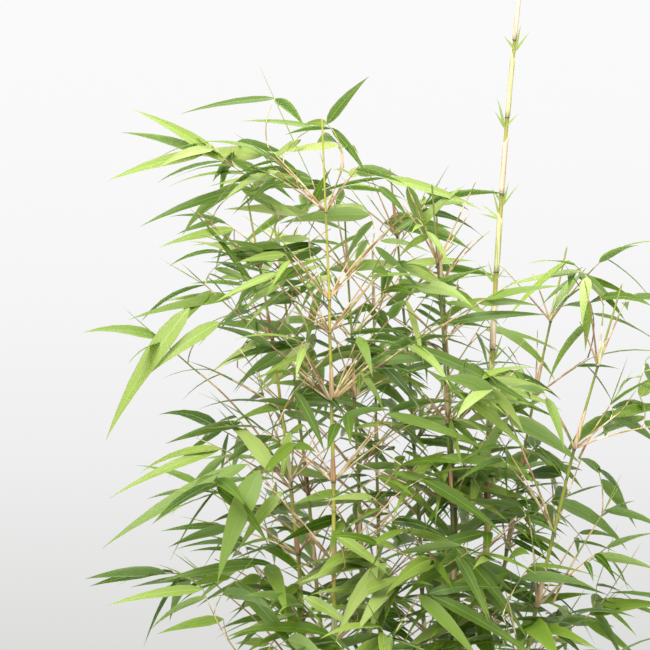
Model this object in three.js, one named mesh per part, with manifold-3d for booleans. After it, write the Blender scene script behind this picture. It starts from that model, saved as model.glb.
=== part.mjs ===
// A clump-forming bamboo in a plain nursery pot: pot, soil, canes, main boughs and masses of leaves.
// Millimetres, +Z up, origin at the centre of the pot's flat underside.
import * as THREE from 'three';
import { mergeVertices } from 'three/addons/utils/BufferGeometryUtils.js';
import Module from 'manifold-3d';

const wasm = await Module();
wasm.setup();

// ---------- driving sizes ----------
const GAP = 0.4; // air left between neighbouring solids

const POT_HEIGHT = 215;
const POT_BASE_RADIUS = 92;
const POT_TOP_RADIUS = 114;
const POT_WALL = 2.4;
const POT_FLOOR = 4;
const RIM_DEPTH = 20;
const RIM_LIP = 4;
const POT_FACETS = 26;
const DRAIN_HOLES = 6;
const DRAIN_RADIUS = 6;
const DRAIN_CIRCLE = 62;

const SOIL_LEVEL = 190;
const SOIL_DOME = 4; // the soil rises slightly where the canes come up

const CANE_SIDES = 6;
const CANE_STEP = 125; // one ring about every second node
const FLARE = 1.6; // a cane's foot is this much wider than its stem
const FLARE_HEIGHT = 14;

const BOUGH_SIDES = 4;
const BOUGH_STEPS = 5;

const MASS_DETAIL = 2; // facets of a leaf mass: 20 x (detail + 1)^2
const MASS_LOBES = 9; // fans of leaves that stand out of a mass
const MASS_CORE = 0.84; // radius of a mass between its fans, of its stated half-size
const MASS_REACH = 1.3; // radius of a mass at its longest fan, of its stated half-size
const MASS_GROWTH = 1.02; // growth that clears one mass from the next

// Canes: foot on the soil, tip, sideways bow at mid-height, radius at foot and tip.
const CANES = {
  cane_centre: { foot: [-64, -42], tip: [-73, -58, 968], bow: [7, 0], radius: [3.3, 0.9] },
  cane_left: { foot: [-84, 6], tip: [-148, -14, 893], bow: [18, 0], radius: [3.2, 0.9] },
  cane_middle: { foot: [-27, 12], tip: [-50, 22, 878], bow: [5, 0], radius: [3.0, 0.9] },
  cane_tall_shoot: { foot: [98, 12], tip: [150, 20, 1290], bow: [-24, 0], radius: [3.9, 1.1] },
  cane_right_front: { foot: [62, -34], tip: [36, -40, 905], bow: [8, 0], radius: [3.0, 0.9] },
  cane_right_rear: { foot: [70, 38], tip: [44, 44, 886], bow: [8, 0], radius: [2.9, 0.9] },
  cane_far_right: { foot: [88, -48], tip: [222, -60, 806], bow: [-14, 0], radius: [3.1, 0.9] },
  cane_far_right_rear: { foot: [78, 68], tip: [184, 92, 848], bow: [-12, 6], radius: [3.1, 0.9] },
  cane_inner: { foot: [38, 62], tip: [-2, 98, 930], bow: [10, 0], radius: [3.0, 0.9] },
  cane_back_left: { foot: [-56, 62], tip: [-128, 142, 902], bow: [8, 10], radius: [3.1, 0.9] },
  cane_back: { foot: [-8, 92], tip: [-18, 198, 856], bow: [0, -16], radius: [3.0, 0.9] },
};

// Leaf masses: centre, half-size, and the furthest leaf tip where one stands out of the crown.
const MASSES = {
  foliage_left_top: { at: [-196, -42, 926], half: [70, 44, 32], tip: [-262, -60, 980] },
  foliage_crown_left: { at: [-112, -12, 968], half: [62, 44, 28], tip: [-140, -20, 1032] },
  foliage_crown_centre: { at: [-58, -30, 928], half: [40, 40, 42], tip: [-26, -44, 1012] },
  foliage_left_upper: { at: [-184, -34, 800], half: [66, 50, 34], tip: [-290, -46, 768] },
  foliage_left_inner: { at: [-96, -22, 852], half: [54, 44, 36] },
  foliage_left_hanging: { at: [-228, -72, 738], half: [42, 36, 54], tip: [-288, -92, 650] },
  foliage_left_middle: { at: [-200, -88, 608], half: [70, 46, 36], tip: [-296, -112, 552] },
  foliage_left_low: { at: [-192, -24, 508], half: [66, 50, 32], tip: [-294, -30, 494] },
  foliage_left_rear: { at: [-142, 84, 706], half: [56, 56, 58] },
  foliage_front_low_left: { at: [-112, -100, 462], half: [60, 54, 42] },
  foliage_front_low: { at: [-4, -112, 462], half: [48, 50, 50] },
  foliage_centre_low: { at: [-34, -66, 548], half: [58, 42, 40] },
  foliage_right_top: { at: [24, -6, 878], half: [58, 50, 34], tip: [88, -20, 896] },
  foliage_centre_upper: { at: [-4, 44, 818], half: [44, 44, 30] },
  foliage_right_upper: { at: [92, -66, 790], half: [74, 48, 34] },
  foliage_right_middle: { at: [96, -70, 704], half: [84, 52, 44] },
  foliage_right_centre: { at: [66, -8, 628], half: [70, 52, 38] },
  foliage_right_lower: { at: [84, -84, 546], half: [74, 52, 40] },
  foliage_right_low: { at: [110, -76, 452], half: [70, 56, 46] },
  foliage_far_right_top: { at: [200, 8, 806], half: [60, 52, 40], tip: [262, 14, 838] },
  foliage_far_right_upper: { at: [232, -34, 706], half: [60, 54, 46], tip: [300, -44, 672] },
  foliage_far_right_middle: { at: [224, -14, 594], half: [72, 60, 48], tip: [304, -34, 560] },
  foliage_far_right_low: { at: [214, 12, 474], half: [72, 58, 42], tip: [294, 20, 458] },
  foliage_back_top: { at: [-34, 132, 884], half: [74, 56, 40] },
  foliage_back_upper_left: { at: [-128, 150, 806], half: [76, 56, 44], tip: [-196, 206, 786] },
  foliage_back_upper_right: { at: [104, 138, 768], half: [78, 58, 44], tip: [180, 206, 744] },
  foliage_back_middle: { at: [-14, 190, 690], half: [86, 56, 46], tip: [-20, 262, 660] },
  foliage_back_lower_left: { at: [-122, 150, 556], half: [78, 58, 50], tip: [-190, 214, 520] },
  foliage_back_lower_right: { at: [114, 150, 590], half: [80, 58, 50], tip: [184, 216, 556] },
};

// Main boughs: the cane and node height each leaves from, the mass it ends in, and how high it
// arches over a straight line.
const BOUGHS = {
  bough_top_left: { from: ['cane_centre', 862], to: 'foliage_crown_left', arch: 14 },
  bough_upper_left: { from: ['cane_centre', 790], to: 'foliage_left_top', arch: 10 },
  bough_upper_right: { from: ['cane_centre', 758], to: 'foliage_right_top', arch: -6 },
  bough_long_left: { from: ['cane_centre', 690], to: 'foliage_left_upper', arch: 0 },
  bough_long_right: { from: ['cane_centre', 690], to: 'foliage_right_upper', arch: 6 },
  bough_low_right: { from: ['cane_centre', 530], to: 'foliage_right_centre', arch: 4 },
  bough_low_left: { from: ['cane_centre', 530], to: 'foliage_left_middle', arch: 14 },
  bough_foot_right: { from: ['cane_centre', 451], to: 'foliage_right_lower', arch: 10 },
  bough_left_out: { from: ['cane_left', 606], to: 'foliage_left_hanging', arch: 20 },
  bough_left_foot: { from: ['cane_left', 400], to: 'foliage_left_low', arch: 16 },
  bough_left_back: { from: ['cane_left', 600], to: 'foliage_left_rear', arch: 8 },
  bough_middle_right: { from: ['cane_middle', 690], to: 'foliage_centre_upper', arch: 0 },
  bough_front_low: { from: ['cane_middle', 380], to: 'foliage_front_low', arch: 12 },
  bough_right_inward: { from: ['cane_far_right', 560], to: 'foliage_right_middle', arch: 6 },
  bough_right_out: { from: ['cane_far_right', 600], to: 'foliage_far_right_upper', arch: 12 },
  bough_right_low: { from: ['cane_far_right', 420], to: 'foliage_far_right_middle', arch: 18 },
  bough_right_foot: { from: ['cane_far_right_rear', 370], to: 'foliage_far_right_low', arch: 12 },
  bough_back_right: { from: ['cane_inner', 640], to: 'foliage_back_upper_right', arch: 12 },
};

const BOUGH_RADIUS = [1.7, 0.8];

// ---------- geometry helpers ----------
function seeded(seed) {
  let state = seed >>> 0;
  return () => {
    state = (Math.imul(state, 1664525) + 1013904223) >>> 0;
    return state / 4294967296;
  };
}

function toSolid(geometry) {
  const bare = geometry.clone();
  bare.deleteAttribute('normal');
  bare.deleteAttribute('uv');
  const merged = mergeVertices(bare, 1e-4);
  return new wasm.Manifold(new wasm.Mesh({
    numProp: 3,
    vertProperties: new Float32Array(merged.attributes.position.array),
    triVerts: new Uint32Array(merged.index.array),
  }));
}

function toGeometry(solid) {
  const { vertProperties, triVerts } = solid.getMesh();
  const geometry = new THREE.BufferGeometry();
  geometry.setAttribute('position', new THREE.BufferAttribute(new Float32Array(vertProperties), 3));
  geometry.setIndex(new THREE.BufferAttribute(new Uint32Array(triVerts), 1));
  geometry.computeVertexNormals();
  return geometry;
}

function largest(solid) {
  return solid.decompose().reduce((best, piece) => (piece.volume() > best.volume() ? piece : best));
}

function nearestTo(solid, point) {
  const distance = (piece) => {
    const { min, max } = piece.boundingBox();
    return new THREE.Box3(new THREE.Vector3(...min), new THREE.Vector3(...max)).distanceToPoint(point);
  };
  const pieces = solid.decompose().filter((piece) => piece.volume() > 5);
  return pieces.reduce((best, piece) => (distance(piece) < distance(best) ? piece : best));
}

// A closed, tapering limb: a capped cylinder whose rings are carried along the curve.
function limb(curve, sides, steps, radiusAt) {
  const geometry = new THREE.CylinderGeometry(1, 1, 1, sides, steps);
  const position = geometry.attributes.position;
  const frames = curve.computeFrenetFrames(steps, false);
  for (let i = 0; i < position.count; i += 1) {
    const ring = Math.round((position.getY(i) + 0.5) * steps);
    const along = ring / steps;
    const spot = curve.getPointAt(along)
      .addScaledVector(frames.normals[ring], position.getZ(i) * radiusAt(along))
      .addScaledVector(frames.binormals[ring], position.getX(i) * radiusAt(along));
    position.setXYZ(i, spot.x, spot.y, spot.z);
  }
  return geometry;
}

// ---------- pot and soil ----------
function potRadiusAt(z) {
  return THREE.MathUtils.lerp(POT_BASE_RADIUS, POT_TOP_RADIUS, z / POT_HEIGHT);
}

function turned(points) {
  const outline = points.map(([radius, z]) => new THREE.Vector2(radius, z));
  return new THREE.LatheGeometry(outline, POT_FACETS).rotateX(Math.PI / 2);
}

function makePot() {
  const bandFoot = POT_HEIGHT - RIM_DEPTH;
  const shell = toSolid(turned([
    [0, 0],
    [POT_BASE_RADIUS - 3, 0],
    [POT_BASE_RADIUS, 3],
    [potRadiusAt(bandFoot), bandFoot],
    [potRadiusAt(bandFoot) + RIM_LIP, bandFoot + 2],
    [POT_TOP_RADIUS + RIM_LIP, POT_HEIGHT - 1],
    [POT_TOP_RADIUS + RIM_LIP - 1, POT_HEIGHT],
    [POT_TOP_RADIUS - POT_WALL + 1, POT_HEIGHT],
    [POT_TOP_RADIUS - POT_WALL, POT_HEIGHT - 1],
    [potRadiusAt(POT_FLOOR) - POT_WALL, POT_FLOOR],
    [0, POT_FLOOR],
  ]));
  let pot = shell;
  for (let i = 0; i < DRAIN_HOLES; i += 1) {
    const angle = ((i + 0.5) / DRAIN_HOLES) * 2 * Math.PI;
    const drill = new THREE.CylinderGeometry(DRAIN_RADIUS, DRAIN_RADIUS, 4 * POT_FLOOR, 8)
      .rotateX(Math.PI / 2)
      .translate(DRAIN_CIRCLE * Math.cos(angle), DRAIN_CIRCLE * Math.sin(angle), 0);
    pot = pot.subtract(toSolid(drill));
  }
  return pot;
}

function makeSoil() {
  const inside = (z) => potRadiusAt(z) - POT_WALL - GAP;
  const foot = POT_FLOOR + GAP;
  return toSolid(turned([
    [0, foot],
    [inside(foot) - 1, foot],
    [inside(SOIL_LEVEL - SOIL_DOME), SOIL_LEVEL - SOIL_DOME],
    [inside(SOIL_LEVEL) * 0.8, SOIL_LEVEL],
    [0, SOIL_LEVEL],
  ]));
}

// ---------- canes ----------
function caneCurve({ foot, tip, bow }) {
  const start = new THREE.Vector3(foot[0], foot[1], SOIL_LEVEL + GAP);
  const end = new THREE.Vector3(...tip);
  const middle = start.clone().add(end).multiplyScalar(0.5).add(new THREE.Vector3(bow[0], bow[1], 0));
  const bend = middle.multiplyScalar(2).sub(start.clone().add(end).multiplyScalar(0.5));
  return new THREE.QuadraticBezierCurve3(start, bend, end);
}

function makeCane(size, extra = 0) {
  const curve = caneCurve(size);
  const length = curve.getLength();
  const [thick, thin] = size.radius;
  const radiusAt = (along) => {
    const flare = 1 + (FLARE - 1) * Math.exp(-(along * length) / FLARE_HEIGHT);
    return THREE.MathUtils.lerp(thick, thin, along) * flare + extra;
  };
  const cane = toSolid(limb(curve, CANE_SIDES, Math.round(length / CANE_STEP), radiusAt));
  return cane.trimByPlane([0, 0, 1], SOIL_LEVEL + GAP); // flat cut level with the soil
}

function pointOnCane(name, height) {
  const curve = caneCurve(CANES[name]);
  let [low, high] = [0, 1];
  for (let i = 0; i < 30; i += 1) {
    const half = (low + high) / 2;
    if (curve.getPoint(half).z < height) low = half; else high = half;
  }
  return curve.getPoint(low);
}

// ---------- leaf masses ----------
// A faceted ball stretched to its half-sizes, swollen by seeded lobes that lean outwards and
// droop, with one corner drawn out to the furthest leaf tip.
function leafMass({ at, half, tip }, seed) {
  const random = seeded(seed * 7919 + 17);
  const geometry = mergeVertices(stripped(new THREE.IcosahedronGeometry(1, MASS_DETAIL)), 1e-4);
  const position = geometry.attributes.position;
  const outward = Math.atan2(at[1], at[0]);
  const lobes = Array.from({ length: MASS_LOBES }, () => {
    const turn = outward + (random() - 0.5) * 5.6;
    const rise = -0.9 + random() * 1.7;
    return {
      direction: new THREE.Vector3(
        Math.cos(turn) * Math.cos(rise), Math.sin(turn) * Math.cos(rise), Math.sin(rise)),
      gain: 0.3 + random() * 0.3,
    };
  });
  const stretch = new THREE.Vector3(...half);
  const centre = new THREE.Vector3(...at);
  const heading = tip && new THREE.Vector3(...tip).sub(centre);
  const target = heading && heading.clone().divide(stretch).normalize();
  let [closest, best] = [-1, -2];
  for (let i = 0; i < position.count; i += 1) {
    const ray = new THREE.Vector3().fromBufferAttribute(position, i).normalize();
    let reach = MASS_CORE;
    lobes.forEach(({ direction, gain }) => {
      reach += gain * Math.max(0, ray.dot(direction)) ** 9;
    });
    reach = Math.min(reach, MASS_REACH);
    if (target && ray.dot(target) > best) {
      best = ray.dot(target);
      closest = i;
    }
    const spot = ray.multiplyScalar(reach).multiply(stretch).add(centre);
    position.setXYZ(i, spot.x, spot.y, spot.z);
  }
  if (tip) position.setXYZ(closest, ...tip);
  return geometry;
}

function stripped(geometry) {
  geometry.deleteAttribute('normal');
  geometry.deleteAttribute('uv');
  return geometry;
}

function grownAbout(geometry, [x, y, z], factor) {
  return geometry.clone().translate(-x, -y, -z).scale(factor, factor, factor).translate(x, y, z);
}

// ---------- boughs ----------
function boughCurve({ from, to, arch }) {
  const start = pointOnCane(...from);
  const end = new THREE.Vector3(...MASSES[to].at);
  const bend = start.clone().lerp(end, 0.5).add(new THREE.Vector3(0, 0, 2 * arch));
  return new THREE.QuadraticBezierCurve3(start, bend, end);
}

function makeBough(size, extra = 0) {
  const [thick, thin] = BOUGH_RADIUS;
  const radiusAt = (along) => THREE.MathUtils.lerp(thick, thin, along) + extra;
  return toSolid(limb(boughCurve(size), BOUGH_SIDES, BOUGH_STEPS, radiusAt));
}

// ---------- the plant ----------
const LOOKS = {
  pot: { color: 0x26272a, roughness: 0.6 },
  soil: { color: 0x3b2b20, roughness: 0.95 },
  cane: { color: 0x7d8a3a, roughness: 0.45 },
  bough: { color: 0xa58a4e, roughness: 0.55 },
  foliage: { color: 0x6a9a45, roughness: 0.6 },
};

const plant = new THREE.Group();
plant.name = 'potted_bamboo';

function place(name, solid, look) {
  const mesh = new THREE.Mesh(
    toGeometry(solid), new THREE.MeshStandardMaterial({ ...LOOKS[look], metalness: 0 }));
  mesh.name = name;
  plant.add(mesh);
}

place('pot', makePot(), 'pot');
place('soil', makeSoil(), 'soil');

const wasmUnion = (solids) => solids.reduce((whole, solid) => whole.add(solid));
const canes = Object.values(CANES);
Object.entries(CANES).forEach(([name, size]) => place(name, makeCane(size), 'cane'));
const canesGrown = wasmUnion(canes.map((size) => makeCane(size, GAP)));

let filled = canesGrown;
let massesGrown = null;
Object.entries(MASSES).forEach(([name, size], index) => {
  const shape = leafMass(size, index + 1);
  place(name, largest(toSolid(shape).subtract(filled)), 'foliage');
  const grown = toSolid(grownAbout(shape, size.at, MASS_GROWTH));
  filled = filled.add(grown);
  massesGrown = massesGrown ? massesGrown.add(grown) : grown;
});

let limbsGrown = canesGrown;
Object.entries(BOUGHS).forEach(([name, size]) => {
  const whole = makeBough(size).subtract(limbsGrown).subtract(massesGrown);
  place(name, nearestTo(whole, pointOnCane(...size.from)), 'bough');
  limbsGrown = limbsGrown.add(makeBough(size, GAP));
});

export default plant;
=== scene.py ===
"""Looks of a clump-forming bamboo in a plain nursery pot.

Canes and main boughs follow the middles of their CAD solids. A seeded rule then grows twigs from
the canes' nodes, the boughs and earlier twigs to places inside each mass of leaves, and ends
each twig in a fan of long drooping leaves. Metres throughout.
"""

import math

import bpy
import numpy as np
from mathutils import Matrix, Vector
from mathutils.bvhtree import BVHTree


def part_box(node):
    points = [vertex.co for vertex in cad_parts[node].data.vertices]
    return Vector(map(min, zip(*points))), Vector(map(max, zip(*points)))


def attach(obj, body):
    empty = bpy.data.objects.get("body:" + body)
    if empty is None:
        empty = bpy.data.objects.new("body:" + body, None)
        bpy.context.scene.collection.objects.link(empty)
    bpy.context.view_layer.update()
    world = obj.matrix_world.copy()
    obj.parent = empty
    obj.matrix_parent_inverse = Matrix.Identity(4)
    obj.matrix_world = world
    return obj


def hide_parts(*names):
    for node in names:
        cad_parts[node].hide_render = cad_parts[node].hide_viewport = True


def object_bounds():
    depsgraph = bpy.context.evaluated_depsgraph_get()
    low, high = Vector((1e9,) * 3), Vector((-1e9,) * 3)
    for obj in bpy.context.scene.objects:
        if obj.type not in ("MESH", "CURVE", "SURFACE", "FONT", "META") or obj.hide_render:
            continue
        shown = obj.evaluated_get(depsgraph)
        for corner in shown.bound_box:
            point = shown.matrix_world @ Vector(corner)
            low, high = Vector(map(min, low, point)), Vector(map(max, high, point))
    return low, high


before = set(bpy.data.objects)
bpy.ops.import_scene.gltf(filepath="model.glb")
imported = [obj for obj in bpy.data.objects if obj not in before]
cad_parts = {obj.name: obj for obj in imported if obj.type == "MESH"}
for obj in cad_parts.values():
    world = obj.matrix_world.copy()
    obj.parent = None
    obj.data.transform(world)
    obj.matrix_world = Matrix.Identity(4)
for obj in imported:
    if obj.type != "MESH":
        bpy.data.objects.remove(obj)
CAD_BOX = [list(corner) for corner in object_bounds()]

MM = 0.001
UP = np.array([0.0, 0.0, 1.0])
RNG = np.random.default_rng(145)

NODES = sorted(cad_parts)
CANES = [n for n in NODES if n.startswith("cane_")]
BOUGHS = [n for n in NODES if n.startswith("bough_")]
MASSES = [n for n in NODES if n.startswith("foliage_")]

# ---------- sizes ----------
INTERNODE = 78 * MM
LOWEST_BRANCH = 0.33  # no branches on the canes below this height
SPRAYS_PER_LITRE = 11.5
LEAF_LENGTH = (78 * MM, 134 * MM)
LEAF_WIDTH = (0.125, 0.172)  # as a share of a leaf's length
SMALL_LEAVES_ABOVE = 0.8
TIP_SPACE = 12 * MM  # leaf tips may pass the CAD box by this much
RING_GAP = 4 * MM  # rings of a CAD limb stand further apart than this
STEADY_HEADING = 0.7  # a limb's last heading is taken from this share of its length to its tip
WOOD_TO_WOOD = 9 * MM  # a bough whose foot is this near a cane's middle grows from that cane

# Leaves with a place of their own, on the crown's outline and on its front, as (foot x, foot z,
# tip x, tip z, depth y, width), in millimetres from the pot's centre and foot.
MARKED_LEAVES = [
    (-170, 927, -260, 978, -52, 15), (-190, 935, -286, 907, -48, 15),
    (-120, 992, -215, 976, -20, 9), (-68, 965, -26, 1012, -40, 13),
    (-152, 900, -254, 862, -44, 12), (-137, 795, -204, 881, -40, 7),
    (-103, 828, -173, 850, -52, 11), (-163, 792, -265, 770, -46, 12),
    (-202, 782, -283, 652, -96, 21), (-173, 768, -240, 718, -90, 16),
    (-145, 630, -285, 550, -112, 17), (-133, 625, -173, 518, -128, 24),
    (-112, 603, -155, 545, -100, 13), (-173, 643, -282, 595, -70, 12),
    (-138, 528, -235, 512, -60, 12), (-190, 505, -285, 490, -70, 12),
    (-170, 475, -235, 462, -66, 12), (-10, 912, 87, 880, -20, 13),
    (12, 745, 145, 678, -86, 14), (55, 768, 150, 775, -60, 12),
    (5, 825, 65, 790, -50, 12), (-10, 678, 95, 640, -80, 12),
    (45, 635, 135, 620, -70, 12), (25, 615, 105, 560, -96, 14),
    (20, 505, 80, 440, -130, 15), (30, 505, 145, 436, -120, 13),
    (90, 560, 10, 535, -60, 13), (55, 550, 130, 455, -90, 13),
    (118, 720, 133, 690, -60, 12), (-60, 560, -5, 520, -90, 12),
    (-100, 700, -70, 640, -70, 11), (-105, 660, -112, 610, -60, 14),
    (60, 700, 128, 640, -90, 13), (20, 860, 70, 905, -20, 11),
    (-90, 500, -40, 470, -100, 13), (-48, 498, 15, 525, -110, 13),
    (-80, 962, -155, 968, -30, 7), (-94, 950, -129, 924, -30, 14),
    (-97, 916, -160, 946, -50, 10), (-99, 912, -185, 902, -50, 10),
    (-82, 885, -63, 920, -60, 12),
    (-64, 962, -27, 912, -30, 9), (12, 903, 28, 848, -40, 13),
    (20, 871, -7, 851, -50, 12), (-17, 903, 13, 871, -40, 9),
    (-160, 860, -235, 842, -40, 12), (-55, 600, -103, 588, -60, 14),
]


# ---------- small helpers ----------
def unit(v):
    """Vectors scaled to length one along the last axis."""
    return v / np.maximum(np.linalg.norm(v, axis=-1, keepdims=True), 1e-12)


def corners(name):
    """The vertices of a CAD node as an array."""
    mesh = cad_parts[name].data
    co = np.empty(len(mesh.vertices) * 3, np.float32)
    mesh.vertices.foreach_get("co", co)
    return co.reshape(-1, 3).astype(float)


def middle_line(name):
    """Middle of a CAD limb: its vertices fall into rings along its long axis, and the middle of
    each ring is a point of the line. Returns the points from foot to tip and the rings' radii."""
    points = np.unique(corners(name).round(6), axis=0)
    centre = points.mean(0)
    axis = np.linalg.svd(points - centre, full_matrices=False)[2][0]
    axis = axis if axis[2] > 0 else -axis
    along = (points - centre) @ axis
    order = np.argsort(along)
    splits = np.flatnonzero(np.diff(along[order]) > RING_GAP) + 1
    rings = np.split(points[order], splits)
    line = np.array([ring.mean(0) for ring in rings])
    radius = np.array([np.linalg.norm(r - r.mean(0), axis=1).max() for r in rings])
    return line, radius


def smooth_line(line, count, reach=0.0):
    """The limb's middle as a smooth curve: each coordinate is a cubic of the distance along the
    limb, read at even steps. Past the last ring it runs on straight for a share of its length."""
    span = np.r_[0, np.cumsum(np.linalg.norm(np.diff(line, axis=0), axis=1))]
    power = min(3, len(line) - 1)
    fits = [np.polyfit(span, line[:, k], power) for k in range(3)]
    at = np.linspace(0, span[-1] * (1 + reach), count)

    def read(distance):
        """The curve at a distance along the limb."""
        return np.stack([np.polyval(f, distance) for f in fits], -1)

    heading = unit(read(span[-1]) - read(span[-1] * STEADY_HEADING))
    return read(np.minimum(at, span[-1])) + np.maximum(at - span[-1], 0)[:, None] * heading, at


def tangents(path):
    """Unit direction of each point of paths shaped (..., points, 3)."""
    return unit(np.gradient(path, axis=-2))


# ---------- meshes ----------
def add_mesh(name, points, faces, materials, slots=None, uvs=None, values=None):
    """A mesh from arrays: faces is a list of index arrays, one for each number of corners, slots
    the material of every face, uvs one pair for every face corner, values extra numbers for
    every vertex. All faces are shaded smooth."""
    mesh = bpy.data.meshes.new(name)
    sizes = np.concatenate([np.full(len(f), f.shape[1]) for f in faces])
    loops = np.concatenate([f.ravel() for f in faces]).astype(np.int32)
    mesh.vertices.add(len(points))
    mesh.vertices.foreach_set("co", points.astype(np.float32).ravel())
    mesh.loops.add(len(loops))
    mesh.loops.foreach_set("vertex_index", loops)
    mesh.polygons.add(len(sizes))
    starts = np.r_[0, np.cumsum(sizes)[:-1]].astype(np.int32)
    mesh.polygons.foreach_set("loop_start", starts)
    if slots is not None:
        mesh.polygons.foreach_set("material_index", slots.astype(np.int32))
    mesh.polygons.foreach_set("use_smooth", np.full(len(sizes), True))
    if uvs is not None:
        layer = mesh.uv_layers.new(name="surface")
        layer.data.foreach_set("uv", uvs.astype(np.float32).ravel())
    for label, numbers in (values or {}).items():
        field = mesh.attributes.new(label, "FLOAT", "POINT")
        field.data.foreach_set("value", numbers.astype(np.float32).ravel())
    mesh.update(calc_edges=True)
    mesh.validate()
    for material in materials:
        mesh.materials.append(material)
    piece = bpy.data.objects.new(name, mesh)
    bpy.context.scene.collection.objects.link(piece)
    return piece


def skin(rings):
    """Closed skins over rings of points, shaped (limbs, rings, points in a ring, 3): a quad
    between each two neighbours on each two rings, and a cap on both ends. Returns the points,
    the quads shaped (limbs, rings - 1, points in a ring, 4) and the caps."""
    n, r, k = rings.shape[:3]
    index = np.arange(n * r * k).reshape(n, r, k)
    turned = np.roll(index, -1, axis=2)
    quads = np.stack([index[:, :-1], turned[:, :-1], turned[:, 1:], index[:, 1:]], -1)
    caps = np.concatenate([index[:, 0, ::-1], index[:, -1]])
    return rings.reshape(-1, 3), quads, caps


def tube_rings(paths, radii, sides):
    """Rings of a round limb: each point of a path, plus its radius times the cosine and sine of
    even turns along two directions square to the path."""
    along = tangents(paths)
    lean = np.abs(along.mean(1))
    reference = np.eye(3)[np.argmin(lean, axis=1)][:, None, :]
    across = unit(np.cross(along, reference))
    upward = np.cross(along, across)
    turn = np.arange(sides) * 2 * math.pi / sides
    return (
        paths[:, :, None]
        + (radii[..., None, None] * np.cos(turn)[:, None]) * across[:, :, None]
        + (radii[..., None, None] * np.sin(turn)[:, None]) * upward[:, :, None]
    )


# ---------- materials ----------
def shade(name, colour, roughness=0.5, **sockets):
    """A Principled material with plain numbers on its own sockets."""
    material = bpy.data.materials.new(name)
    material.use_nodes = True
    shader = material.node_tree.nodes["Principled BSDF"]
    shader.inputs["Base Color"].default_value = (*colour, 1)
    shader.inputs["Roughness"].default_value = roughness
    for socket, value in sockets.items():
        shader.inputs[socket.replace("_", " ")].default_value = value
    return material


def srgb(r, g, b):
    """Linear colour of an everyday 0-255 one."""
    return tuple((c / 255 / 12.92) if c < 11 else ((c / 255 + 0.055) / 1.055) ** 2.4
                 for c in (r, g, b))


class Nodes:
    """Short way to add and join shader nodes in one material or group."""

    def __init__(self, tree):
        self.tree = tree

    def add(self, kind, **settings):
        """A new node. The setting "inputs" holds its sockets' numbers."""
        node = self.tree.nodes.new(kind)
        for key, value in settings.items():
            if key == "inputs":
                for socket, number in value.items():
                    node.inputs[socket].default_value = number
            else:
                setattr(node, key, value)
        return node

    def join(self, out, into):
        """Links a socket to another, and returns the tree so that the next join can follow."""
        self.tree.links.new(out, into)
        return self


def fibre_group():
    """Fine fibres that run up a cane or sheath: noise squeezed sideways and drawn out in height.
    Puts out a mask, a roughness and a height."""
    group = bpy.data.node_groups.new("fibres", "ShaderNodeTree")
    face = group.interface
    for label, kind, value in (
        ("Density", "NodeSocketFloat", 900.0), ("Stretch", "NodeSocketFloat", 0.06),
        ("Roughness", "NodeSocketFloat", 0.5), ("Spread", "NodeSocketFloat", 0.15),
    ):
        socket = face.new_socket(name=label, in_out="INPUT", socket_type=kind)
        socket.default_value = value
    for label in ("Mask", "Roughness", "Height"):
        face.new_socket(name=label, in_out="OUTPUT", socket_type="NodeSocketFloat")
    n = Nodes(group)
    source, sink = n.add("NodeGroupInput"), n.add("NodeGroupOutput")
    place = n.add("ShaderNodeTexCoord")
    squeeze = n.add("ShaderNodeCombineXYZ", inputs={0: 1.0, 1: 1.0})
    n.join(source.outputs["Stretch"], squeeze.inputs[2])
    drawn = n.add("ShaderNodeVectorMath", operation="MULTIPLY")
    n.join(place.outputs["Object"], drawn.inputs[0]).join(squeeze.outputs[0], drawn.inputs[1])
    noise = n.add("ShaderNodeTexNoise", inputs={"Detail": 3.0, "Roughness": 0.6})
    n.join(drawn.outputs[0], noise.inputs["Vector"])
    n.join(source.outputs["Density"], noise.inputs["Scale"])
    rough = n.add("ShaderNodeMath", operation="MULTIPLY_ADD", use_clamp=True)
    n.join(noise.outputs[0], rough.inputs[0]).join(source.outputs["Spread"], rough.inputs[1])
    n.join(source.outputs["Roughness"], rough.inputs[2])
    n.join(noise.outputs[0], sink.inputs["Mask"]).join(rough.outputs[0], sink.inputs["Roughness"])
    n.join(noise.outputs[0], sink.inputs["Height"])
    return group


FIBRES = fibre_group()


def fibrous(material, density=900.0, stretch=0.06, spread=0.2, relief=0.00015):
    """Adds fibres to a material: a slight spread of roughness and a fine relief."""
    n = Nodes(material.node_tree)
    shader = material.node_tree.nodes["Principled BSDF"]
    fibre = n.add("ShaderNodeGroup", node_tree=FIBRES, inputs={
        "Density": density, "Stretch": stretch, "Spread": spread,
        "Roughness": shader.inputs["Roughness"].default_value - spread / 2})
    bump = n.add("ShaderNodeBump", inputs={"Strength": 0.5, "Distance": relief})
    n.join(fibre.outputs["Height"], bump.inputs["Height"])
    n.join(fibre.outputs["Roughness"], shader.inputs["Roughness"])
    n.join(bump.outputs["Normal"], shader.inputs["Normal"])
    return fibre


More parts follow.
